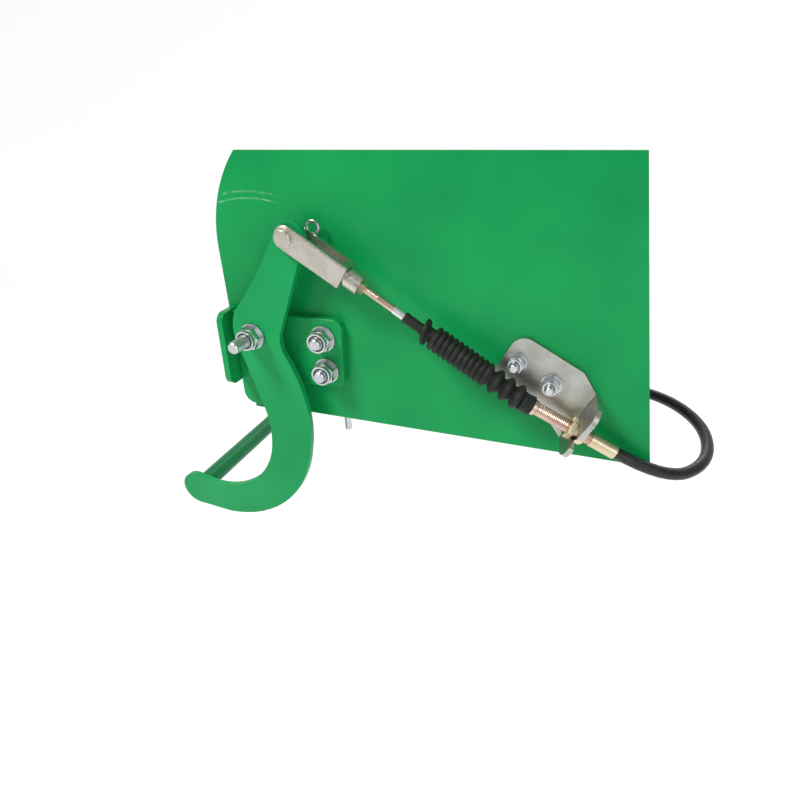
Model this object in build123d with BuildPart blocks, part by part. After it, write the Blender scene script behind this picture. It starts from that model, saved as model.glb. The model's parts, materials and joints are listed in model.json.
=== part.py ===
# Cable-operated latch hook on the steel side panel of a grain hopper.
# Frame: millimetres, +Z up, X along the panel, -Y outward from it. The origin is on
# the hook's pivot axis, at the panel's outer face.
from build123d import *
from math import atan2, cos, degrees, pi, radians, sin, sqrt, tan
import os

os.makedirs("parts", exist_ok=True)

# ---- driving dimensions --------------------------------------------------------
panel_thickness = 4.0
panel_slope = 1.94            # degrees, the panel's bottom edge rises to the right
panel_left = -40.0            # in the panel's own sloping axes
panel_bottom = -86.7
panel_top = 152.9
panel_top_left = -7.8         # where the rounded left edge meets the cut top edge
panel_top_right = 309.0
panel_top_drop = 1.7          # the cut top edge falls by this to the right
panel_bottom_right = 348.9
panel_curve_start = 72.0      # height where the left edge starts to curve
panel_curve_radius = 118.0
panel_corner = 12.0

floor_depth = 150.0
floor_thickness = 4.0
floor_right = 338.0
floor_bolt_x = 66.0
floor_bolt_y = 20.0

bracket_thickness = 8.0
hook_thickness = 6.0
hook_gap = 10.0               # from the bracket's face to the hook's back
side_play = 0.2               # on each side of a piece that turns
running = 0.05                # radial clearance of a pin in its hole

m12 = 12.0
m12_flats = 19.0
m12_nut = 12.0
m12_washer = 24.0
m12_head = 7.5
m8 = 8.0
m8_flats = 13.0
m8_nut = 8.0
m8_washer = 18.0
m8_head = 5.3
bolt_clearance = 1.0          # on the diameter of a bolt's hole
thread_core = 0.88            # a screw's bare end, as a part of its diameter

crank_x = 45.5                # clevis pin from the hook's pivot
crank_z = 92.0
rod_slope = 29.6              # degrees below horizontal
rod_reach = 236.0             # clevis pin to the swivel ball
fork_width = 20.0
fork_slot = 11.0
fork_length = 57.0            # clevis pin to the end of the square
fork_slot_end = 51.0
clevis_pin = 10.0
rod_radius = 3.0
tube_clearance = 1.4          # round the rod, for the small swing as it slides

hub_slope = 26.5
hub_tilt = 7.0                # degrees towards the panel
hub_thread = 5.0              # radius
hub_flange = 43.7             # swivel ball to the middle of the flange
strap_thickness = 4.0
cable_radius = 5.0
cable_start = 80.0            # from the swivel ball, along the hub
cable_lead = 49.0             # straight run before the cable turns

bar_x = -102.1
bar_z = -201.1
bar_radius = 10.0
bar_neck = 9.8                # radius under the weld
bar_end = 200.0               # how far it reaches behind the panel's face

coil_radius = 55.0
coil_turns = 4
coil_x = 255.0
coil_y = 70.0

# ---- derived places ------------------------------------------------------------
hook_back = bracket_thickness + hook_gap
hook_front = hook_back + hook_thickness
rod_height = hook_back + hook_thickness / 2
bracket_bolts = ((62.9, 0.3), (65.0, -31.0))
pivot_at = (0.0, 0.0)


def face(height=0.0, x=0.0, z=0.0, slope=0.0):
    """Plane parallel to the panel, its x axis falling by slope, its normal outward."""
    along = (cos(radians(slope)), 0, -sin(radians(slope)))
    return Plane(origin=(x, -height, z), x_dir=along, z_dir=(0, -1, 0))


def panel_face(height=0.0):
    return face(height, slope=-panel_slope)


def along_line(start, direction, distance):
    """Plane square to a line, at a distance along it."""
    origin = Vector(*start) + Vector(*direction) * distance
    return Plane(origin=origin, x_dir=(0, -1, 0), z_dir=direction)


def disc(plane, radius, length, bore=0.0):
    """Round piece on a plane, with an optional bore."""
    with BuildPart() as piece:
        with BuildSketch(plane):
            Circle(radius)
        extrude(amount=length)
        if bore:
            with BuildSketch(plane):
                Circle(bore)
            extrude(amount=length, mode=Mode.SUBTRACT)
    return piece.part


def hexagon(plane, flats, height, bore=0.0, turn=0.0):
    """Hexagonal nut or head with its corners turned off at 30 degrees."""
    corner = flats / sqrt(3)
    relief = (corner - flats / 2 + 0.2) * tan(radians(30))
    with BuildPart() as piece:
        with BuildSketch(plane):
            RegularPolygon(corner, 6, rotation=turn)
        extrude(amount=height)
        with BuildSketch(Plane(origin=plane.origin, x_dir=plane.z_dir, z_dir=plane.x_dir)):
            with BuildLine():
                Polyline((0, 0), (0, flats / 2 - 0.2), (relief, corner), (height - relief, corner),
                         (height, flats / 2 - 0.2), (height, 0), (0, 0))
            make_face()
        revolve(axis=Axis(plane.origin, plane.z_dir), mode=Mode.INTERSECT)
        if bore:
            with BuildSketch(plane):
                Circle(bore)
            extrude(amount=height, mode=Mode.SUBTRACT)
    return piece.part


def lock_nut(plane, flats, height, bore, turn=0.0):
    """Nylon-insert nut: a hexagon under a plain collar, hollow where the insert sits."""
    hex_height = 0.68 * height
    collar = flats / 2 - 0.4
    with BuildPart() as piece:
        add(hexagon(plane, flats, hex_height, bore, turn))
        with BuildSketch(plane.offset(hex_height)):
            Circle(collar)
            Circle(collar - 1.6, mode=Mode.SUBTRACT)
        extrude(amount=height - hex_height)
    return piece.part


def insert_ring(plane, flats, height, bore):
    """The dark plastic ring in the top of a lock nut."""
    hex_height = 0.68 * height
    ring = 0.9 * (height - hex_height)
    return disc(plane.offset(hex_height), flats / 2 - 2.0, ring, bore)


def screw(plane, diameter, grip, nut, beyond, head, flats):
    """Screw with its head below the plane by the grip and its end beyond the nut above."""
    core = thread_core * diameter / 2
    with BuildPart() as piece:
        add(disc(plane.offset(-grip), diameter / 2, grip + nut))
        add(disc(plane.offset(nut), core, beyond))
        chamfer(piece.edges().filter_by(GeomType.CIRCLE).sort_by(Axis(plane.origin, plane.z_dir))[-1],
                diameter / 12)
        add(hexagon(plane.offset(-grip - head), flats, head))
    return piece.part


def save(part, name):
    part.label = name
    export_step(part, f"parts/{name}.step")


# ---- floor plate behind the panel, with its stiffening bar and one bolt -----------
floor_up = Vector(-sin(radians(panel_slope)), 0, cos(radians(panel_slope)))
floor_along = Vector(cos(radians(panel_slope)), 0, sin(radians(panel_slope)))


def floor_spot(x, y, lift=0.0):
    """Point at a lift over the floor plate's top face."""
    return floor_along * x + floor_up * (panel_bottom + floor_thickness + lift) + Vector(0, y, 0)


floor_bolt_plane = Plane(origin=floor_spot(floor_bolt_x, floor_bolt_y, -floor_thickness),
                         x_dir=floor_along, z_dir=-floor_up)
with BuildPart() as floor_plate:
    with BuildSketch(Plane(origin=floor_spot(0, 0), x_dir=floor_along, z_dir=floor_up)):
        with Locations(((panel_left + 2 + floor_right) / 2, panel_thickness + floor_depth / 2)):
            Rectangle(floor_right - panel_left - 2, floor_depth)
    extrude(amount=-floor_thickness)
    with BuildSketch(floor_bolt_plane):
        Circle((m8 + bolt_clearance) / 2)
    extrude(amount=-floor_thickness, mode=Mode.SUBTRACT)
save(floor_plate.part, "floor_plate")

stiffener_width = 16.0
stiffener_drop = 8.0
with BuildPart() as floor_stiffener:
    with BuildSketch(Plane(origin=floor_spot(0, 0, -floor_thickness), x_dir=floor_along, z_dir=floor_up)):
        with Locations((panel_left + 6 + stiffener_width / 2, panel_thickness + 3 + (floor_depth - 6) / 2)):
            Rectangle(stiffener_width, floor_depth - 6)
    extrude(amount=-stiffener_drop)
save(floor_stiffener.part, "floor_stiffener")

floor_washer_height = 1.6
save(disc(floor_bolt_plane, m8_washer / 2, floor_washer_height, (m8 + 0.4) / 2), "floor_washer")
floor_nut_height = 6.5
save(hexagon(floor_bolt_plane.offset(floor_washer_height), m8_flats, floor_nut_height, m8 / 2), "floor_nut")
floor_nut_top = floor_washer_height + floor_nut_height
save(screw(floor_bolt_plane, m8, floor_thickness, floor_nut_top, 17.0, m8_head, m8_flats), "floor_bolt")

# ---- pivot bracket: the thick plate under the hook, and the guard standing at its end ---
bracket_left = -32.0
bracket_right = 81.0
guard_thickness = 6.0
guard_left = bracket_left - guard_thickness
guard_rise = 25.0
guard_top = 16.0
guard_bottom = -57.0
with BuildPart() as pivot_bracket:
    with BuildSketch(face()) as outline:
        with BuildLine():
            Polyline((bracket_left, 14.7), (bracket_right, 19.0), (bracket_right, -47.0),
                     (bracket_left, -56.0), (bracket_left, 14.7))
        make_face()
        fillet(outline.vertices().sort_by(Axis.X)[-2:], 9.0)
        for x, z in (pivot_at, *bracket_bolts):
            with Locations((x, z)):
                Circle((m12 + bolt_clearance) / 2, mode=Mode.SUBTRACT)
    extrude(amount=bracket_thickness)
    chamfer(pivot_bracket.faces().sort_by(Axis.Y)[0].outer_wire().edges(), 0.8)
save(pivot_bracket.part, "pivot_bracket")

with BuildPart() as bracket_guard:
    with BuildSketch(Plane(origin=(guard_left, 0, 0), x_dir=(0, 0, 1), z_dir=(1, 0, 0))) as outline:
        with Locations(((guard_top + guard_bottom) / 2, guard_rise / 2)):
            Rectangle(guard_top - guard_bottom, guard_rise)
        fillet(outline.vertices().sort_by(Axis.Y)[-2:], 9.0)
    extrude(amount=guard_thickness)
save(bracket_guard.part, "bracket_guard")

washer_height = 2.5
bracket_washers = [disc(face(bracket_thickness, x, z), m12_washer / 2, washer_height, m12 / 2 + 0.3)
                   for x, z in bracket_bolts]
with BuildPart() as bracket_washer:
    add(bracket_washers)
save(bracket_washer.part, "bracket_washers")

nut_base = bracket_thickness + washer_height
bracket_nuts = [lock_nut(face(nut_base, x, z), m12_flats, m12_nut, m12 / 2, turn)
                for (x, z), turn in zip(bracket_bolts, (10, 22))]
with BuildPart() as bracket_nut:
    add(bracket_nuts)
save(bracket_nut.part, "bracket_nuts")

bracket_inserts = [insert_ring(face(nut_base, x, z), m12_flats, m12_nut, m12 / 2)
                   for x, z in bracket_bolts]
with BuildPart() as bracket_insert:
    add(bracket_inserts)
save(bracket_insert.part, "bracket_nut_inserts")

bracket_screws = [screw(face(nut_base, x, z), m12, nut_base + panel_thickness, m12_nut, 4.3,
                        m12_head, m12_flats) for x, z in bracket_bolts]
with BuildPart() as bracket_screw:
    add(bracket_screws)
save(bracket_screw.part, "bracket_bolts")

# ---- pivot of the hook --------------------------------------------------------------
spacer_height = hook_gap - side_play
pivot_washer_base = hook_front + side_play
pivot_nut_base = pivot_washer_base + washer_height
pivot_bolt_end = 18.0         # beyond the nut
save(disc(face(bracket_thickness), 13.0, spacer_height, m12 / 2 + running), "pivot_spacer")
save(disc(face(pivot_washer_base), m12_washer / 2, washer_height, m12 / 2 + running), "pivot_washer")
save(lock_nut(face(pivot_nut_base), m12_flats, m12_nut, m12 / 2, 4), "pivot_nut")
save(insert_ring(face(pivot_nut_base), m12_flats, m12_nut, m12 / 2), "pivot_nut_insert")
save(screw(face(pivot_nut_base), m12, pivot_nut_base + panel_thickness, m12_nut, pivot_bolt_end,
           m12_head, m12_flats), "pivot_bolt")

# ---- hook lever ---------------------------------------------------------------------
inner_center = (-73.4, -106.9)
inner_radius = 78.8
outer_center = (-71.9, -101.3)
outer_radius = 121.0


def on_circle(center, radius, angle):
    return (center[0] + radius * cos(radians(angle)), center[1] + radius * sin(radians(angle)))


hook_tip_radius = 19.6
with BuildPart() as hook_lever:
    with BuildSketch(face(hook_back)) as outline:
        with BuildLine():
            arm_right = Line((30.4, 11.4), (59.0, 87.4))
            arm_end = ThreePointArc(arm_right @ 1, (46.5, 105.3), (34.7, 98.0))
            arm_left = ThreePointArc(arm_end @ 1, (11.6, 58.8), (-16.1, 22.3))
            heel = ThreePointArc(arm_left @ 1, (-21.2, 5.0), (-18.8, -10.0))
            shank_left = Line(heel @ 1, (1.0, -72.0))
            throat = ThreePointArc(shank_left @ 1, (5.0, -90.0), on_circle(inner_center, inner_radius, -4))
            bowl = ThreePointArc(throat @ 1, on_circle(inner_center, inner_radius, -50),
                                 on_circle(inner_center, inner_radius, -96))
            lip = Line(bowl @ 1, on_circle((bar_x, bar_z), hook_tip_radius, 82))
            tip = ThreePointArc(lip @ 1, on_circle((bar_x, bar_z), hook_tip_radius, 180),
                                on_circle((bar_x, bar_z), hook_tip_radius, -94))
            belly = ThreePointArc(tip @ 1, on_circle(outer_center, outer_radius, -98),
                                  on_circle(outer_center, outer_radius, -86))
            back_low = ThreePointArc(belly @ 1, on_circle(outer_center, outer_radius, -45),
                                     on_circle(outer_center, outer_radius, -7))
            back_high = ThreePointArc(back_low @ 1, (49.6, -70.5), (32.2, -18.2))
            ThreePointArc(back_high @ 1, (27.2, -2.0), arm_right @ 0)
        make_face()
        Circle(m12 / 2 + running, mode=Mode.SUBTRACT)
        with Locations((crank_x, crank_z)):
            Circle(clevis_pin / 2 + running, mode=Mode.SUBTRACT)
    extrude(amount=hook_thickness)
save(hook_lever.part, "hook_lever")

weld_leg = 3.0
bar_shoulder = hook_back - weld_leg
with BuildPart() as cross_bar:
    with BuildSketch(face(-bar_end, bar_x, bar_z)):
        Circle(bar_radius)
    extrude(amount=bar_end + bar_shoulder)
    with BuildSketch(face(bar_shoulder, bar_x, bar_z)):
        Circle(bar_neck)
    extrude(amount=weld_leg)
save(cross_bar.part, "cross_bar")
with BuildPart() as bar_weld:
    with BuildSketch(Plane(origin=(bar_x, 0, bar_z), x_dir=(1, 0, 0), z_dir=(0, 0, 1))):
        with BuildLine():
            Polyline((bar_neck, -hook_back), (bar_radius + weld_leg, -hook_back),
                     (bar_neck, -bar_shoulder), (bar_neck, -hook_back))
        make_face()
    revolve(axis=Axis((bar_x, 0, bar_z), (0, 1, 0)))
save(bar_weld.part, "bar_weld")

# ---- rod: fork, pin and push rod -------------------------------------------------------
crank_point = Vector(crank_x, -rod_height, crank_z)
rod_direction = Vector(cos(radians(rod_slope)), 0, -sin(radians(rod_slope)))


def rod_face(height=0.0):
    """Plane parallel to the panel through the rod's line, x along the rod."""
    return face(height, crank_x, crank_z, rod_slope)


def on_rod(distance):
    return along_line(crank_point, rod_direction, distance)


fork_near = rod_height + fork_width / 2
fork_far = rod_height - fork_width / 2
slot_far = rod_height - fork_slot / 2
collar_start = fork_length + 1.5
collar_end = 71.0
with BuildPart() as clevis_fork:
    with BuildSketch(rod_face(fork_far)):
        Circle(fork_width / 2)
        with Locations((fork_length / 2, 0)):
            Rectangle(fork_length, fork_width)
    extrude(amount=fork_width)
    chamfer(clevis_fork.edges().filter_by(Axis(crank_point, rod_direction)), 1.2)
    with BuildSketch(rod_face(slot_far)):
        with Locations((fork_slot_end / 2 - fork_width / 2, 0)):
            Rectangle(fork_slot_end + fork_width, fork_width + 2)
    extrude(amount=fork_slot, mode=Mode.SUBTRACT)
    with BuildSketch(rod_face(fork_far)):
        Circle(clevis_pin / 2)
    extrude(amount=fork_width, mode=Mode.SUBTRACT)
    with BuildSketch(on_rod(fork_length)):
        Circle(6.5)
    extrude(amount=collar_start - fork_length)
    with BuildSketch(on_rod(collar_start)):
        Circle(8.4)
    extrude(amount=collar_end - collar_start)
    with BuildSketch(on_rod(fork_slot_end)):
        Circle(rod_radius)
    extrude(amount=collar_end - fork_slot_end, mode=Mode.SUBTRACT)
save(clevis_fork.part, "clevis_fork")

pin_head_height = 3.5
pin_tail = 6.0                # beyond the fork's far face
cotter_radius = 1.4
cotter_height = fork_far - pin_tail / 2
cotter_slope = -20.0
cotter_plane = face(cotter_height, crank_x, crank_z, cotter_slope)
cotter_direction = cotter_plane.x_dir
with BuildPart() as clevis_pin_body:
    with BuildSketch(rod_face(fork_far - pin_tail)):
        Circle(clevis_pin / 2)
    extrude(amount=fork_width + pin_tail)
    with BuildSketch(rod_face(fork_near)):
        Circle(7.2)
    extrude(amount=pin_head_height)
    chamfer(clevis_pin_body.faces().sort_by(Axis.Y)[0].edges(), 0.6)
    with BuildSketch(Plane(origin=cotter_plane.origin - cotter_direction * 10, z_dir=cotter_direction)):
        Circle(cotter_radius)
    extrude(amount=20, mode=Mode.SUBTRACT)
save(clevis_pin_body.part, "clevis_pin")

eye_radius = 5.2
eye_distance = 15.5
with BuildPart() as cotter_pin:
    with BuildSketch(Plane(origin=cotter_plane.origin - cotter_direction * 9, z_dir=cotter_direction)):
        Circle(cotter_radius)
    extrude(amount=9 + eye_distance - eye_radius)
    eye_center = cotter_plane.origin + cotter_direction * eye_distance
    add(Solid.make_torus(eye_radius, cotter_radius, Plane(origin=eye_center, z_dir=(0, 1, 0))))
save(cotter_pin.part, "cotter_pin")

thread_end = 88.0
coat_end = 104.0
rod_tail = rod_reach - 46
lock_nut_height = 5.0
save(hexagon(on_rod(collar_end), 10.0, lock_nut_height, rod_radius, 12), "rod_lock_nut")
with BuildPart() as push_rod:
    with BuildSketch(on_rod(fork_slot_end + 1)):
        Circle(rod_radius)
    extrude(amount=rod_tail - fork_slot_end - 1)
    with BuildSketch(on_rod(thread_end)):
        Circle(rod_radius + 0.2)
    extrude(amount=coat_end - thread_end)
save(push_rod.part, "push_rod")
sleeve_end = 114.0
save(disc(on_rod(coat_end), rod_radius + 0.5, sleeve_end - coat_end, rod_radius), "rod_sleeve")

# ---- swivel tube and hub -----------------------------------------------------------------
swivel = crank_point + rod_direction * rod_reach
hub_direction = Vector(cos(radians(hub_tilt)) * cos(radians(hub_slope)), sin(radians(hub_tilt)),
                       -cos(radians(hub_tilt)) * sin(radians(hub_slope)))


def on_hub(distance):
    return along_line(swivel, hub_direction, distance)


tube_bore = rod_radius + tube_clearance
tube_wall = 0.5
tube_radius = tube_bore + tube_wall
ball_radius = 5.6
tube_start = rod_reach - 58
ball_neck = rod_reach - sqrt(ball_radius ** 2 - tube_radius ** 2)
ball_mouth = rod_reach + sqrt(ball_radius ** 2 - tube_bore ** 2)
with BuildPart() as support_tube:
    with BuildSketch(rod_face(rod_height)):
        with BuildLine():
            Polyline((ball_mouth, tube_bore), (tube_start, tube_bore), (tube_start, tube_radius),
                     (ball_neck, tube_radius))
            ThreePointArc((ball_neck, tube_radius), (rod_reach, ball_radius), (ball_mouth, tube_bore))
        make_face()
    revolve(axis=Axis(crank_point, rod_direction))
save(support_tube.part, "support_tube")

nose_radius = 6.5
nose_start = -3.5
nose_end = 6.0
hub_end = 57.0
hub_bore = 3.2
with BuildPart() as hub_tube:
    with BuildSketch(on_hub(nose_start)):
        Circle(nose_radius)
    extrude(amount=nose_end - nose_start)
    with BuildSketch(on_hub(nose_end)):
        Circle(hub_thread)
    extrude(amount=hub_end - nose_end)
    add(Solid.make_sphere(ball_radius + running, Plane(swivel)), mode=Mode.SUBTRACT)
    with BuildSketch(on_hub(nose_start)):
        Circle(tube_radius + 0.6)
    extrude(amount=-nose_start, mode=Mode.SUBTRACT)
    with BuildSketch(on_hub(0)):
        Circle(hub_bore)
    extrude(amount=hub_end, mode=Mode.SUBTRACT)
save(hub_tube.part, "hub_tube")

hub_nut_height = 6.0
flange_front = hub_flange - strap_thickness / 2
flange_back = hub_flange + strap_thickness / 2
save(hexagon(on_hub(flange_front - hub_nut_height), 16.0, hub_nut_height, hub_thread), "hub_nut_front")
save(hexagon(on_hub(flange_back), 16.0, hub_nut_height, hub_thread, 8), "hub_nut_back")

with BuildPart() as cable_ferrule:
    with BuildSketch(on_hub(hub_end)):
        Circle(5.9)
    extrude(amount=cable_start - hub_end)
save(cable_ferrule.part, "cable_ferrule")

# ---- cable bracket: plate on the panel with a slotted flange ---------------------------------
strap = face(0, 0, 0, hub_slope)
flange_point = swivel + hub_direction * hub_flange
flange_along = flange_point.dot(strap.x_dir)
flange_height = -flange_point.Y
strap_length = 80.3
strap_left = flange_along - strap_length
strap_top = 130.2
strap_low = 79.0
flange_top = 120.5
flange_low = 70.0
flange_rise = 35.0
bend_radius = 2.0


def on_strap(along, across, height=0.0):
    """Point given along and across the cable bracket, at a height over the panel."""
    return strap.x_dir * along + strap.y_dir * across + strap.z_dir * height


def leaning(side, height):
    """Along and height of a place on one face of the leaning flange."""
    lean = tan(radians(hub_tilt))
    half = strap_thickness / 2 / cos(radians(hub_tilt))
    return (flange_along + side * half + (height - flange_height) * lean, height)


inner_bend = leaning(-1, strap_thickness)
outer_bend = leaning(1, 0)
cut_start = inner_bend[0] - 18     # where the plate's edges slope in to the flange
bolt_across = 107.2
top_corner_radius = 12.0
low_corner_radius = 6.0
bolt_spots = [on_strap(strap_left + along, bolt_across) for along in (11.2, 44.2)]
with BuildPart() as cable_bracket:
    with BuildSketch(Plane(origin=on_strap(0, strap_top), x_dir=strap.x_dir, z_dir=-strap.y_dir)) as profile:
        with BuildLine():
            Polyline((strap_left, 0), outer_bend, leaning(1, flange_rise), leaning(-1, flange_rise),
                     inner_bend, (strap_left, strap_thickness), (strap_left, 0))
        make_face()
        fillet(profile.vertices().sort_by_distance(inner_bend)[0], bend_radius)
        fillet(profile.vertices().sort_by_distance(outer_bend)[0], bend_radius + strap_thickness)
    extrude(amount=strap_top - flange_low)
    far = flange_along + 20
    with BuildSketch(strap):
        with BuildLine():
            Polyline((cut_start, strap_top), (inner_bend[0], flange_top), (far, flange_top),
                     (far, strap_top), (cut_start, strap_top))
        make_face()
        with BuildLine():
            Polyline((strap_left, flange_low), (strap_left, strap_low), (cut_start, strap_low),
                     (inner_bend[0], flange_low), (strap_left, flange_low))
        make_face()
    extrude(amount=flange_rise, mode=Mode.SUBTRACT)
    fillet(cable_bracket.edges().filter_by(Axis((0, 0, 0), strap.x_dir)).group_by(Axis.Y)[0], 11.0)
    corners = cable_bracket.edges().filter_by(Axis.Y)
    fillet(corners.sort_by_distance(on_strap(strap_left, strap_top))[0], top_corner_radius)
    corners = cable_bracket.edges().filter_by(Axis.Y)
    fillet(corners.sort_by_distance(on_strap(strap_left, strap_low))[0], low_corner_radius)
    with BuildSketch(Plane(origin=flange_point, x_dir=strap.y_dir, z_dir=hub_direction)):
        Circle(hub_thread + bolt_clearance / 2)
        with Locations((0, flange_rise / 2)):
            Rectangle(2 * hub_thread + bolt_clearance, flange_rise)
    extrude(amount=strap_thickness, both=True, mode=Mode.SUBTRACT)
    for spot in bolt_spots:
        with BuildSketch(face(0, spot.X, spot.Z)):
            Circle((m8 + bolt_clearance) / 2)
        extrude(amount=strap_thickness, mode=Mode.SUBTRACT)
save(cable_bracket.part, "cable_bracket")

thin_washer = 1.6
cable_nut_base = strap_thickness + thin_washer
cable_washers = [disc(face(strap_thickness, spot.X, spot.Z), m8_washer / 2, thin_washer, m8 / 2 + 0.2)
                 for spot in bolt_spots]
with BuildPart() as cable_washer:
    add(cable_washers)
save(cable_washer.part, "cable_bracket_washers")
cable_nuts = [lock_nut(face(cable_nut_base, spot.X, spot.Z), m8_flats, m8_nut, m8 / 2, turn)
              for spot, turn in zip(bolt_spots, (5, 18))]
with BuildPart() as cable_nut:
    add(cable_nuts)
save(cable_nut.part, "cable_bracket_nuts")
cable_inserts = [insert_ring(face(cable_nut_base, spot.X, spot.Z), m8_flats, m8_nut, m8 / 2)
                 for spot in bolt_spots]
with BuildPart() as cable_insert:
    add(cable_inserts)
save(cable_insert.part, "cable_bracket_nut_inserts")
cable_screws = [screw(face(cable_nut_base, spot.X, spot.Z), m8, cable_nut_base + panel_thickness,
                      m8_nut, 5.0, m8_head, m8_flats) for spot in bolt_spots]
with BuildPart() as cable_screw:
    add(cable_screws)
save(cable_screw.part, "cable_bracket_bolts")

# ---- side panel ----------------------------------------------------------------
with BuildPart() as side_panel:
    with BuildSketch(panel_face(-panel_thickness)) as outline:
        with BuildLine():
            curve = CenterArc((panel_left + panel_curve_radius, panel_curve_start), panel_curve_radius,
                              180, -degrees(atan2(panel_top - panel_curve_start,
                                                  panel_left + panel_curve_radius - panel_top_left)))
            Polyline(curve @ 1, (panel_top_right, panel_top - panel_top_drop),
                     (panel_bottom_right, panel_bottom), (panel_left, panel_bottom), curve @ 0)
        make_face()
        fillet(outline.vertices().sort_by(Axis.Y)[:2].sort_by(Axis.X)[0], panel_corner)
    extrude(amount=panel_thickness)
    for x, z in (pivot_at, *bracket_bolts):
        with BuildSketch(face(0, x, z)):
            Circle((m12 + bolt_clearance) / 2)
        extrude(amount=-panel_thickness, mode=Mode.SUBTRACT)
    for spot in bolt_spots:
        with BuildSketch(face(0, spot.X, spot.Z)):
            Circle((m8 + bolt_clearance) / 2)
        extrude(amount=-panel_thickness, mode=Mode.SUBTRACT)
save(side_panel.part, "side_panel")

# ---- bellows boot over the swivel ---------------------------------------------------------------
boot_wall = 0.7
boot_cavity = tube_radius + boot_wall
neck_radius = 4.3
neck_end = 132.0
collar_radius = 10.5
collar_width = 3.4
collar_middle = 135.5
collar_lean = 15.0            # degrees, the collar's top leans back along the rod
valley_radius = 6.1
ridge_start = 142.3
ridge_pitch = 4.95
ridge_radius = 10.4
wide_ridges = (rod_reach - 31.7, rod_reach - 21.2, rod_reach - 11.0)
wide_radius = 10.8
wide_half = 5.0
ridge_count = int((wide_ridges[0] - wide_half - ridge_start) / ridge_pitch)
boot_end = rod_reach - 8
cuff_radius = 8.1
cuff_length = 9.9
cuff_overhang = 3.4           # past the end of the hub's nose
boot_start = sleeve_end + 0.3
collar_normal = rod_direction.rotate(Axis.Y, -collar_lean)
collar_plane = along_line(crank_point + rod_direction * collar_middle, collar_normal, 0)
with BuildPart() as boot:
    with BuildSketch(rod_face(rod_height)):
        with BuildLine():
            crests = [(boot_start, neck_radius), (neck_end, neck_radius), (neck_end + 4, valley_radius)]
            for ridge in range(ridge_count):
                crests.append((ridge_start + ridge * ridge_pitch, 8.4))
                crests.append((ridge_start + (ridge + 0.3) * ridge_pitch, ridge_radius))
                crests.append((ridge_start + (ridge + 0.7) * ridge_pitch, ridge_radius))
            for middle in wide_ridges:
                crests.append((middle - wide_half, valley_radius))
                crests.append((middle - 0.6, wide_radius))
                crests.append((middle + 0.6, wide_radius))
            crests.append((boot_end, cuff_radius))
            Polyline(*crests, (boot_end, boot_cavity), (neck_end + 8, boot_cavity),
                     (neck_end, rod_radius + 0.3), (boot_start, rod_radius + 0.3), crests[0])
        make_face()
    revolve(axis=Axis(crank_point, rod_direction))
    with BuildSketch(collar_plane.offset(-collar_width / 2)):
        Circle(collar_radius)
        Circle(neck_radius + 0.3, mode=Mode.SUBTRACT)
    extrude(amount=collar_width)
save(boot.part, "boot")
with BuildPart() as boot_cuff:
    with BuildSketch(on_hub(nose_start - cuff_overhang)):
        Circle(cuff_radius)
        Circle(nose_radius, mode=Mode.SUBTRACT)
    extrude(amount=cuff_length)
save(boot_cuff.part, "boot_cuff")

# ---- control cable: run from the ferrule round the panel's edge to a coil ----------------------
coil_lift = 1.6
coil_pitch = 10.2
coil_width = 2 * cable_radius
coil_height = (coil_turns - 1) * coil_pitch + coil_width


def cord_tube(points, radius):
    """Tube along straight runs joined by arcs, each as large as its two runs allow."""
    bends = []
    for before, corner, after in zip(points, points[1:], points[2:]):
        turn = (corner - before).get_angle(after - corner)
        shorter = min((corner - before).length, (after - corner).length)
        bends.append(0.45 * shorter / tan(radians(turn / 2)))
    with BuildPart() as tube:
        with BuildLine() as path:
            FilletPolyline(*points, radius=bends)
        route = path.wire()
        with BuildSketch(Plane(origin=route @ 0, z_dir=route % 0)):
            Circle(radius)
        sweep(path=route)
    share = tube.part.volume / (pi * radius ** 2 * route.length)
    print("bends", [round(bend, 1) for bend in bends], "length", round(route.length), "share",
          round(share, 4))
    return tube.part


exit_point = swivel + hub_direction * cable_start
start_lift = coil_lift + cable_radius
cable_points = [
    exit_point,
    exit_point + hub_direction * cable_lead,
    exit_point + hub_direction * cable_lead + Vector(34, 34, 3),
    floor_spot(396, 77, -1),
    floor_spot(363, 113, start_lift - 0.5),
    floor_spot(312, 124.5, start_lift),
    floor_spot(coil_x + 12, coil_y + coil_radius, start_lift),
]
save(cord_tube(cable_points, cable_radius), "cable")
coil_face = Plane(origin=floor_spot(coil_x, coil_y, coil_lift), x_dir=floor_along, z_dir=floor_up)
with BuildPart() as cable_coil:
    with BuildSketch(coil_face):
        Circle(coil_radius + cable_radius)
        Circle(coil_radius - cable_radius, mode=Mode.SUBTRACT)
    extrude(amount=coil_height)
save(cable_coil.part, "cable_coil")

tail_lift = 8.4
tail_y = 126.0
tail_start = 92.0
tail_points = [
    floor_spot(coil_x - 12, coil_y + coil_radius, coil_height + coil_lift - cable_radius),
    floor_spot(tail_start + 100, tail_y + 1, coil_height + coil_lift - cable_radius - 3),
    floor_spot(tail_start + 49, tail_y, tail_lift),
    floor_spot(tail_start, tail_y, tail_lift),
]
save(cord_tube(tail_points, cable_radius), "cable_tail")

tie_gap = 0.3
tie_wall = 1.2
ties = []
for angle in (200, 340):
    radial = floor_along * cos(radians(angle)) + Vector(0, 1, 0) * sin(radians(angle))
    middle = coil_face.origin + radial * coil_radius + floor_up * (coil_height / 2)
    with BuildPart() as tie:
        with BuildSketch(Plane(origin=middle, x_dir=radial, z_dir=radial.cross(floor_up))):
            Rectangle(coil_width + 2 * tie_gap + 2 * tie_wall, coil_height + 2 * tie_gap + 2 * tie_wall)
            Rectangle(coil_width + 2 * tie_gap, coil_height + 2 * tie_gap, mode=Mode.SUBTRACT)
        extrude(amount=2.4, both=True)
    ties.append(tie.part)
with BuildPart() as cable_tie:
    add(ties)
save(cable_tie.part, "cable_ties")

# ---- the cable's other end, the same fitting without its bracket --------------------------------
tail_point = tail_points[-1]


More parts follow.
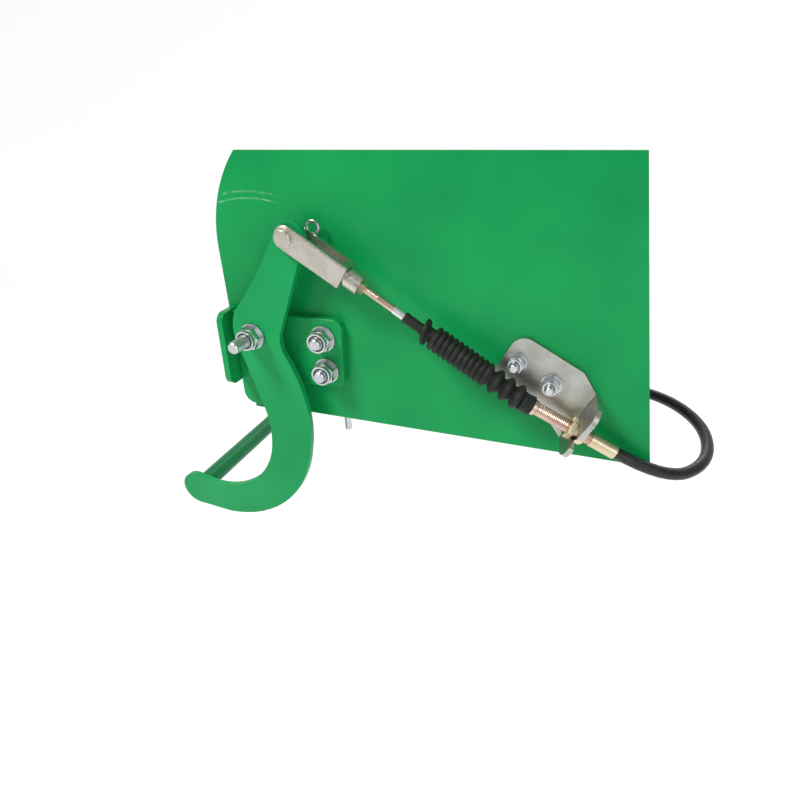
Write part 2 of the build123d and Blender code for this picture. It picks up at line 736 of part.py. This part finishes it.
def on_tail(distance):
    return along_line(tail_point, -floor_along, distance)


tail_hub_start = 28.0
tail_hub_end = 78.0
tail_rod_end = 128.0
save(disc(on_tail(0), 5.9, tail_hub_start), "tail_ferrule")
with BuildPart() as tail_hub:
    with BuildSketch(on_tail(tail_hub_start)):
        Circle(hub_thread)
        Circle(hub_bore, mode=Mode.SUBTRACT)
    extrude(amount=tail_hub_end - tail_hub_start)
save(tail_hub.part, "tail_hub")
tail_nuts = [hexagon(on_tail(start), 16.0, hub_nut_height, hub_thread)
             for start in (tail_hub_start + 16, tail_hub_start + 24)]
with BuildPart() as tail_nut:
    add(tail_nuts)
save(tail_nut.part, "tail_nuts")
save(disc(on_tail(tail_hub_start), rod_radius, tail_rod_end - tail_hub_start), "tail_rod")
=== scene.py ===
import json
from math import cos, pi, radians, sin, tan

import bmesh
import bpy
from mathutils import Matrix, Vector


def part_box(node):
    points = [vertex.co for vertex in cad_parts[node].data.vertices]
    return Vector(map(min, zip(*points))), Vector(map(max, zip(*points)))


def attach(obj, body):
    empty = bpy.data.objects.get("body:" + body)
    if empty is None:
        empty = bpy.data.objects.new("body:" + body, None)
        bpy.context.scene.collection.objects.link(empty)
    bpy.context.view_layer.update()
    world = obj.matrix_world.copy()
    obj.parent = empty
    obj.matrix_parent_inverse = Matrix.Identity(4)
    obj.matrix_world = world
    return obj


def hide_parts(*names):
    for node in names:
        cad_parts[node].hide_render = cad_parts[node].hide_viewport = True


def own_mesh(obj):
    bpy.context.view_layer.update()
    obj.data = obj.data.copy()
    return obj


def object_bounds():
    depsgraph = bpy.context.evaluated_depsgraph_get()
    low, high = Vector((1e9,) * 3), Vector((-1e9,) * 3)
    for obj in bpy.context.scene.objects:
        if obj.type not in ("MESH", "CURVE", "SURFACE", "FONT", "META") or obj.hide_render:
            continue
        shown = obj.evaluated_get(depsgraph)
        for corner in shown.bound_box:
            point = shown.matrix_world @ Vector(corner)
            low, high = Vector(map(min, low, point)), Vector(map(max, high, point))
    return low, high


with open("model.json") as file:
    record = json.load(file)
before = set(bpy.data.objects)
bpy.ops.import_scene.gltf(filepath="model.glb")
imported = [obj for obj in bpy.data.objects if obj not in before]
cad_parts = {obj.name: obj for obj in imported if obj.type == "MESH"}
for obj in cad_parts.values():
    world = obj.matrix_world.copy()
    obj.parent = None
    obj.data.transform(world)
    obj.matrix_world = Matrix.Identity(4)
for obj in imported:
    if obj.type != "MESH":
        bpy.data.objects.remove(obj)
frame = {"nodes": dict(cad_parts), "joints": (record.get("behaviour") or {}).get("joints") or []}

nodes = frame["nodes"]
joints = {joint["name"]: joint for joint in frame["joints"]}


def plain(box):
    return [list(corner) for corner in box]


cad_box = plain(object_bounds())

# ---- places, in metres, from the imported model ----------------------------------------
rod_slope = radians(29.6)
hub_slope = radians(26.5)
hub_tilt = radians(7.0)
floor_slope = radians(1.94)
crank = Vector(joints["clevis_pivot"]["pos_m"])
swivel = Vector(joints["tube_swivel"]["pos_m"])
rod_direction = Vector((cos(rod_slope), 0, -sin(rod_slope)))
hub_direction = Vector((cos(hub_tilt) * cos(hub_slope), sin(hub_tilt), -cos(hub_tilt) * sin(hub_slope)))
floor_along = Vector((cos(floor_slope), 0, sin(floor_slope)))
floor_up = Vector((-sin(floor_slope), 0, cos(floor_slope)))
floor_top = -0.0827
outward = Vector((0, -1, 0))
coil_center = (0.255, 0.070)
coil_radius = 0.055
coil_pitch = 0.0102
coil_turns = 3
cable_radius = 0.005
cable_lift = 0.0066
tail_place = (0.092, 0.126)
tail_lift = 0.0084
m12 = 0.012
m12_pitch = 0.00175
m8 = 0.008
m8_pitch = 0.00125
thread_core = 0.88
bracket_bolts = ((0.0629, 0.0003), (0.0650, -0.0310))
cable_bolts_along = (0.2096, 0.2426)
cable_bolts_across = 0.1072
hub_radius = 0.005
hub_pitch = 0.0015
rod_radius = 0.003
rod_pitch = 0.001


def floor_spot(x, y, lift):
    """Point at a lift over the floor plate behind the panel."""
    return floor_along * x + floor_up * (floor_top + lift) + Vector((0, y, 0))


# ---- materials -----------------------------------------------------------------------
class Shader:
    """A Principled material whose sockets are set to given values or by small node chains."""

    def __init__(self, name, **values):
        self.material = bpy.data.materials.new(name)
        self.material.use_nodes = True
        self.tree = self.material.node_tree
        self.surface = self.tree.nodes["Principled BSDF"]
        for socket, value in values.items():
            self.surface.inputs[socket.replace("_", " ")].default_value = value
        self.place = self.tree.nodes.new("ShaderNodeTexCoord").outputs["Object"]

    def node(self, kind, **inputs):
        made = self.tree.nodes.new(kind)
        for socket, value in inputs.items():
            self.feed(value, made.inputs[socket.replace("_", " ")])
        return made

    def feed(self, value, socket):
        if isinstance(value, bpy.types.NodeSocket):
            self.tree.links.new(value, socket)
        else:
            socket.default_value = value

    def noise(self, scale, detail=3.0, roughness=0.55, stretch=None):
        where = self.place
        if stretch:
            where = self.node("ShaderNodeMapping", Vector=self.place, Scale=stretch).outputs["Vector"]
        made = self.node("ShaderNodeTexNoise", Vector=where, Scale=scale, Detail=detail, Roughness=roughness)
        return made.outputs["Fac"]

    def spread(self, fac, low, high, to_low, to_high):
        made = self.tree.nodes.new("ShaderNodeMapRange")
        self.feed(fac, made.inputs["Value"])
        for name, value in (("From Min", low), ("From Max", high), ("To Min", to_low), ("To Max", to_high)):
            made.inputs[name].default_value = value
        return made.outputs["Result"]

    def mix(self, fac, first, second):
        made = self.tree.nodes.new("ShaderNodeMix")
        made.data_type = "RGBA"
        self.feed(fac, made.inputs["Factor"])
        self.feed(first, made.inputs["A"])
        self.feed(second, made.inputs["B"])
        return made.outputs["Result"]

    def math(self, operation, first, second):
        made = self.tree.nodes.new("ShaderNodeMath")
        made.operation = operation
        self.feed(first, made.inputs[0])
        self.feed(second, made.inputs[1])
        return made.outputs["Value"]

    def set(self, socket, value):
        self.feed(value, self.surface.inputs[socket])

    def bump(self, height, strength, distance):
        made = self.node("ShaderNodeBump", Height=height, Strength=strength, Distance=distance)
        self.set("Normal", made.outputs["Normal"])


scuff_radii = (0.1155, 0.1210)


def paint(name, color, worn=0.0):
    """Enamel with orange peel, faint blotches, dust and, where worn, two arcs rubbed round the pivot."""
    shader = Shader(name, Specular_IOR_Level=0.16)
    darker = tuple(0.86 * c for c in color[:3]) + (1.0,)
    lighter = tuple(min(1.0, 1.12 * c + 0.004) for c in color[:3]) + (1.0,)
    tone = shader.mix(shader.spread(shader.noise(9.0, 2.0), 0.3, 0.7, 0.0, 1.0), darker, lighter)
    dust = shader.spread(shader.noise(260.0, 6.0, 0.7), 0.62, 0.80, 0.0, 0.06)
    tone = shader.mix(dust, tone, (0.42, 0.55, 0.42, 1.0))
    if worn:
        flat = shader.node("ShaderNodeSeparateXYZ", Vector=shader.place)
        square = shader.math("ADD", shader.math("MULTIPLY", flat.outputs["X"], flat.outputs["X"]),
                             shader.math("MULTIPLY", flat.outputs["Z"], flat.outputs["Z"]))
        reach = shader.math("SQRT", square, 0.5)
        first = shader.math("ABSOLUTE", shader.math("SUBTRACT", reach, scuff_radii[0]), 0.0)
        second = shader.math("ABSOLUTE", shader.math("SUBTRACT", reach, scuff_radii[1]), 0.0)
        lines = shader.math("MAXIMUM", shader.spread(first, 0.0002, 0.0009, 1.0, 0.0),
                            shader.spread(second, 0.0002, 0.0012, 0.7, 0.0))
        angle = shader.math("ARCTAN2", flat.outputs["Z"], flat.outputs["X"])
        sweep = shader.math("MULTIPLY", shader.spread(angle, 1.32, 1.45, 0.0, 1.0),
                            shader.spread(angle, 2.20, 2.00, 0.0, 1.0))
        patch = shader.spread(shader.noise(160.0, 4.0), 0.40, 0.62, 0.0, 1.0)
        mask = shader.math("MULTIPLY", shader.math("MULTIPLY", lines, sweep), patch)
        tone = shader.mix(shader.math("MULTIPLY", mask, worn), tone, (0.30, 0.62, 0.40, 1.0))
    shader.set("Base Color", tone)
    shader.set("Roughness", shader.spread(shader.noise(30.0, 4.0), 0.3, 0.7, 0.20, 0.34))
    shader.bump(shader.noise(700.0, 2.0), 0.10, 0.0004)
    return shader.material


def plating(name, color, tint, rough=0.30, streak=(1.0, 1.0, 1.0), grain=900.0):
    """Zinc-plated steel with clouded colour, brushed grain and small dull spots."""
    shader = Shader(name, Metallic=1.0)
    cloud = shader.spread(shader.noise(70.0, 5.0, 0.6), 0.35, 0.65, 0.0, 1.0)
    tone = shader.mix(cloud, (*color, 1.0), (*tint, 1.0))
    spots = shader.spread(shader.noise(420.0, 4.0, 0.7), 0.60, 0.75, 0.0, 0.45)
    tone = shader.mix(spots, tone, tuple(0.55 * c for c in color) + (1.0,))
    shader.set("Base Color", tone)
    brushed = shader.noise(grain, 4.0, 0.6, streak)
    shader.set("Roughness", shader.spread(brushed, 0.3, 0.7, rough - 0.08, rough + 0.14))
    shader.bump(brushed, 0.12, 0.0003)
    return shader.material


def rubber(name, color, rough, dusty):
    """Dull rubber or plastic with dust settled in patches."""
    shader = Shader(name, Specular_IOR_Level=0.42)
    dust = shader.spread(shader.noise(90.0, 5.0, 0.65), 0.48, 0.75, 0.0, dusty)
    shader.set("Base Color", shader.mix(dust, (*color, 1.0), (0.16, 0.15, 0.14, 1.0)))
    shader.set("Roughness", shader.spread(shader.noise(200.0), 0.3, 0.7, rough - 0.10, rough + 0.12))
    shader.bump(shader.noise(1500.0, 3.0), 0.16, 0.0003)
    return shader.material


green = (0.004, 0.330, 0.085, 1.0)
panel_paint = paint("panel_enamel", green, worn=0.75)
bracket_paint = paint("bracket_enamel", green)
bar_paint = paint("bar_enamel", (0.005, 0.170, 0.055, 1.0))
hook_paint = paint("hook_enamel", (0.006, 0.350, 0.100, 1.0))
nut_zinc = plating("nut_zinc", (0.55, 0.57, 0.60), (0.70, 0.71, 0.72), 0.24)
fork_zinc = plating("fork_zinc", (0.60, 0.57, 0.50), (0.72, 0.69, 0.62), 0.34, grain=500.0)
plate_zinc = plating("plate_zinc", (0.46, 0.47, 0.42), (0.56, 0.58, 0.54), 0.36, (1.0, 1.0, 5.0), 300.0)
gold_zinc = plating("yellow_zinc", (0.70, 0.58, 0.38), (0.82, 0.72, 0.52), 0.30)
rose_zinc = plating("rose_zinc", (0.70, 0.48, 0.40), (0.84, 0.64, 0.52), 0.30)
band_white = plating("pale_band", (0.80, 0.80, 0.78), (0.88, 0.88, 0.86), 0.38)
nylon = rubber("insert_nylon", (0.020, 0.030, 0.055), 0.45, dusty=0.10)
boot_rubber = rubber("boot_rubber", (0.008, 0.011, 0.008), 0.60, dusty=0.14)
jacket = rubber("cable_jacket", (0.012, 0.013, 0.014), 0.36, dusty=0.12)
tie_black = rubber("tie_nylon", (0.02, 0.02, 0.02), 0.4, dusty=0.1)

finishes = {
    "side_panel": panel_paint,
    "floor_plate": bracket_paint,
    "floor_stiffener": bracket_paint,
    "pivot_bracket": bracket_paint,
    "bracket_guard": bracket_paint,
    "hook_lever": hook_paint,
    "bar_weld": hook_paint,
    "cross_bar": bar_paint,
    "cable_bracket": plate_zinc,
    "clevis_fork": fork_zinc,
    "clevis_pin": fork_zinc,
    "push_rod": rose_zinc,
    "rod_sleeve": band_white,
    "hub_tube": rose_zinc,
    "hub_nut_front": gold_zinc,
    "hub_nut_back": gold_zinc,
    "tail_hub": rose_zinc,
    "tail_nuts": gold_zinc,
    "tail_rod": gold_zinc,
    "cable_ferrule": gold_zinc,
    "tail_ferrule": gold_zinc,
    "rod_lock_nut": gold_zinc,
    "bracket_nut_inserts": nylon,
    "pivot_nut_insert": nylon,
    "cable_bracket_nut_inserts": nylon,
    "cable_ties": tie_black,
}
for name, node in nodes.items():
    node.data.materials.clear()
    node.data.materials.append(finishes.get(name, nut_zinc))


# ---- mesh helpers --------------------------------------------------------------------
def frame_of(origin, direction):
    """Matrix whose z axis runs along a direction."""
    z = Vector(direction).normalized()
    x = outward.cross(z)
    if x.length < 0.1:
        x = Vector((1, 0, 0))
    x = (x - z * x.dot(z)).normalized()
    y = z.cross(x)
    return Matrix.Translation(origin) @ Matrix((x, y, z)).transposed().to_4x4()


def grid_object(name, rings, material):
    """Open-ended object from rings of points, each ring as many points as the next."""
    mesh = bpy.data.meshes.new(name)
    around = len(rings[0])
    points = [point for ring in rings for point in ring]
    faces = []
    for row in range(len(rings) - 1):
        for column in range(around):
            following = (column + 1) % around
            faces.append((row * around + column, row * around + following,
                          (row + 1) * around + following, (row + 1) * around + column))
    mesh.from_pydata(points, [], faces)
    mesh.validate()
    made = bmesh.new()
    made.from_mesh(mesh)
    bmesh.ops.recalc_face_normals(made, faces=made.faces)
    made.to_mesh(mesh)
    made.free()
    for polygon in mesh.polygons:
        polygon.use_smooth = True
    mesh.materials.append(material)
    item = bpy.data.objects.new(name, mesh)
    bpy.context.scene.collection.objects.link(item)
    return item


def thread(name, origin, direction, start, end, radius, pitch, body, material, depth=0.34):
    """Helical ridges over a plain bolt or hub, their depth given as a part of the pitch."""
    around = 40
    steps = 8
    rows = max(2, round((end - start) / pitch * steps))
    place = frame_of(origin, direction)
    rings = []
    for row in range(rows + 1):
        along = start + (end - start) * row / rows
        fade = min(1.0, (end - along) / pitch, (along - start) / (0.3 * pitch))
        ring = []
        for column in range(around):
            turn = column / around
            phase = (along / pitch - turn) % 1.0
            crest = max(0.0, 1.0 - abs(2 * phase - 1) * 1.25)
            reach = radius + 0.00004 + depth * pitch * crest * max(0.0, fade)
            ring.append(place @ Vector((reach * cos(2 * pi * turn), reach * sin(2 * pi * turn), along)))
        rings.append(ring)
    item = grid_object(name, rings, material)
    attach(item, body)
    return item


# ---- threads -------------------------------------------------------------------------
def bolt_thread(name, x, z, nut_top, end, diameter, pitch):
    """Thread on the end of a bolt that stands out of its nut."""
    core = thread_core * diameter / 2
    thread(name, Vector((x, 0, z)), outward, nut_top, end - 0.0008, core, pitch, "station",
           nut_zinc, depth=0.2)


def front(node):
    """How far a node stands off the panel's face."""
    return -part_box(node)[0].y


bolt_thread("pivot_thread", 0.0, 0.0, front("pivot_nut"), front("pivot_bolt"), m12, m12_pitch)
for number, (x, z) in enumerate(bracket_bolts):
    bolt_thread(f"bracket_thread_{number}", x, z, front("bracket_nuts"), front("bracket_bolts"), m12,
                m12_pitch)
strap_along = Vector((cos(hub_slope), 0, -sin(hub_slope)))
strap_across = Vector((sin(hub_slope), 0, cos(hub_slope)))
for number, along in enumerate(cable_bolts_along):
    spot = strap_along * along + strap_across * cable_bolts_across
    bolt_thread(f"cable_bracket_thread_{number}", spot.x, spot.z, front("cable_bracket_nuts"),
                front("cable_bracket_bolts"), m8, m8_pitch)
thread("rod_thread", crank, rod_direction, 0.0758, 0.088, rod_radius, rod_pitch, "rod", rose_zinc)
thread("hub_thread_front", swivel, hub_direction, 0.0063, 0.0362, hub_radius, hub_pitch, "station", rose_zinc)
thread("hub_thread_back", swivel, hub_direction, 0.0515, 0.0570, hub_radius, hub_pitch, "station", rose_zinc)
tail_start = floor_spot(*tail_place, tail_lift)
thread("tail_thread", tail_start, -floor_along, 0.0285, 0.0775, hub_radius, hub_pitch, "station", rose_zinc)


# ---- bellows boot --------------------------------------------------------------------
def lathe(name, origin, direction, profile, material, around=56):
    """Smooth turned piece from (distance along, radius) pairs, closed back on itself inside.

    A third value in a pair leans that ring, its top back against the direction.
    """
    place = frame_of(origin, direction)
    rings = []
    for along, reach, *lean in profile:
        ring = []
        for column in range(around):
            x = reach * cos(2 * pi * column / around)
            y = reach * sin(2 * pi * column / around)
            ring.append(place @ Vector((x, y, along - sum(lean) * x)))
        rings.append(ring)
    return grid_object(name, rings, material)


def rounded_ridge(start, length, valley, crest, flat, steps=10):
    """One bellows fold: full and round where flat is under 1, drawn to a point where it is over 1."""
    fold = []
    for step in range(steps):
        share = step / steps
        height = max(0.0, sin(pi * share)) ** flat
        fold.append((start + length * share, valley + (crest - valley) * height))
    return fold


boot_start = 0.1143
neck_end = 0.1320
collar_middle = 0.1355
collar_lean = tan(radians(15.0))
ridge_start = 0.1423
ridge_pitch = 0.00495
ridge_count = 11
wide_ridges = (0.2043, 0.2148, 0.2250)
boot_end = 0.2290
profile = [(boot_start, 0.0032), (boot_start, 0.0040), (boot_start + 0.0005, 0.0046),
           (boot_start + 0.0024, 0.0047), (boot_start + 0.0034, 0.0043), (neck_end - 0.0010, 0.0043),
           (collar_middle - 0.0017, 0.0052, 0.5 * collar_lean), (collar_middle - 0.0017, 0.0096, collar_lean),
           (collar_middle - 0.0010, 0.0104, collar_lean), (collar_middle + 0.0010, 0.0104, collar_lean),
           (collar_middle + 0.0017, 0.0096, collar_lean), (collar_middle + 0.0017, 0.0066, 0.8 * collar_lean),
           (collar_middle + 0.0040, 0.0061), (ridge_start - 0.0004, 0.0064)]
for ridge in range(ridge_count):
    profile += rounded_ridge(ridge_start + ridge * ridge_pitch, ridge_pitch, 0.0082, 0.0104, 0.5)
for middle in wide_ridges:
    profile += rounded_ridge(middle - 0.0050, 0.0102, 0.0061, 0.0108, 1.5, steps=18)
profile = [ring for ring in profile if ring[0] < boot_end - 0.0012]
profile += [(boot_end, 0.0072), (boot_end + 0.0010, 0.0070), (boot_end + 0.0010, 0.0066),
            (boot_end - 0.0040, 0.0056), (neck_end + 0.0080, 0.0056), (neck_end, 0.0034),
            (boot_start, 0.0032)]
boot = lathe("bellows_boot", crank, rod_direction, profile, boot_rubber)
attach(boot, "station")
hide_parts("boot")
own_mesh(boot)
cuff_start = -0.0072
cuff_end = 0.0031
cuff = lathe("boot_collar", swivel, hub_direction,
             [(cuff_start, 0.0066), (cuff_start, 0.0074), (cuff_start + 0.0006, 0.0080),
              (cuff_start + 0.0020, 0.0082), (cuff_start + 0.0030, 0.0079), (cuff_end - 0.0030, 0.0079),
              (cuff_end - 0.0020, 0.0082), (cuff_end - 0.0008, 0.0082), (cuff_end - 0.0002, 0.0078),
              (cuff_end, 0.0070), (cuff_end, 0.0065), (cuff_start, 0.0066)], boot_rubber)
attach(cuff, "station")
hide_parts("boot_cuff")

# ---- control cable -------------------------------------------------------------------
exit_point = swivel + hub_direction * 0.080
first_bend = exit_point + hub_direction * 0.049
route = [
    exit_point,
    first_bend,
    first_bend + Vector((0.034, 0.034, 0.003)),
    floor_spot(0.396, 0.077, -0.001),
    floor_spot(0.363, 0.113, cable_lift - 0.0005),
    floor_spot(0.312, 0.1245, cable_lift),
    floor_spot(coil_center[0] + 0.012, coil_center[1] + coil_radius, cable_lift),
]
points_per_turn = 16
for step in range(1, coil_turns * points_per_turn):
    share = step / points_per_turn
    angle = pi / 2 + 2 * pi * share
    route.append(floor_spot(coil_center[0] + coil_radius * cos(angle),
                            coil_center[1] + coil_radius * sin(angle), cable_lift + coil_pitch * share))
top = cable_lift + coil_pitch * coil_turns
route += [
    floor_spot(coil_center[0] - 0.012, coil_center[1] + coil_radius, top),
    floor_spot(0.192, 0.127, top - 0.003),
    floor_spot(0.141, tail_place[1], tail_lift),
    floor_spot(*tail_place, tail_lift),
]
line = bpy.data.curves.new("control_cable", "CURVE")
line.dimensions = "3D"
spline = line.splines.new("NURBS")
spline.points.add(len(route) - 1)
for point, place in zip(spline.points, route):
    point.co = (*place, 1.0)
spline.order_u = 3
spline.use_endpoint_u = True
spline.resolution_u = 8
line.bevel_depth = cable_radius
line.bevel_resolution = 8
line.use_fill_caps = True
line.materials.append(jacket)
cable = bpy.data.objects.new("control_cable", line)
bpy.context.scene.collection.objects.link(cable)
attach(cable, "station")
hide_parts("cable", "cable_coil", "cable_tail")

# ---- stage, lights and camera --------------------------------------------------------
ground = bpy.data.meshes.new("ground")
size = 6.0
wall = 3.0
level = cad_box[0][2] - 0.45
ground.from_pydata([(-size, -size, level), (size, -size, level), (size, wall, level), (-size, wall, level),
                    (size, wall + 0.5, level + size), (-size, wall + 0.5, level + size)],
                   [], [(0, 1, 2, 3), (3, 2, 4, 5)])
floor = bpy.data.objects.new("ground", ground)
bpy.context.scene.collection.objects.link(floor)
floor_look = Shader("pale_floor", Base_Color=(0.40, 0.40, 0.40, 1.0), Roughness=0.9,
                    Emission_Color=(1.0, 1.0, 1.0, 1.0), Emission_Strength=0.75)
ground.materials.append(floor_look.material)

world = bpy.data.worlds.new("studio")
world.use_nodes = True
world.node_tree.nodes["Background"].inputs["Color"].default_value = (1.0, 1.0, 1.0, 1.0)
world.node_tree.nodes["Background"].inputs["Strength"].default_value = 0.30
bpy.context.scene.world = world


def softbox(name, place, aim, width, power, color=(1.0, 1.0, 1.0)):
    lamp = bpy.data.lights.new(name, "AREA")
    lamp.shape = "DISK"
    lamp.size = width
    lamp.energy = power
    lamp.color = color
    item = bpy.data.objects.new(name, lamp)
    bpy.context.scene.collection.objects.link(item)
    item.location = place
    item.rotation_euler = (Vector(aim) - Vector(place)).to_track_quat("-Z", "Y").to_euler()


middle = Vector((0.1, 0.0, -0.03))
softbox("key", (-0.55, -0.75, 1.15), middle, 0.45, 15.0, (1.0, 0.985, 0.95))
softbox("fill", (1.2, -1.1, 0.5), middle, 1.2, 5.0, (0.95, 0.98, 1.0))
softbox("back", (0.2, 1.4, 1.0), middle, 1.0, 6.0)

camera = bpy.data.objects.new("camera", bpy.data.cameras.new("camera"))
bpy.context.scene.collection.objects.link(camera)
camera.data.sensor_width = 36.0
camera.data.lens = 25.2
camera.data.clip_start = 0.01
right = Vector((0.93761, 0.34769, 0.0))
up = Vector((-0.16756, 0.45185, 0.87622))
back = right.cross(up)
camera.matrix_world = Matrix.Translation((0.29021, -0.42300, 0.19424)) @ Matrix(
    (right, up, back)).transposed().to_4x4()
bpy.context.scene.camera = camera
bpy.context.scene.view_settings.view_transform = "Standard"
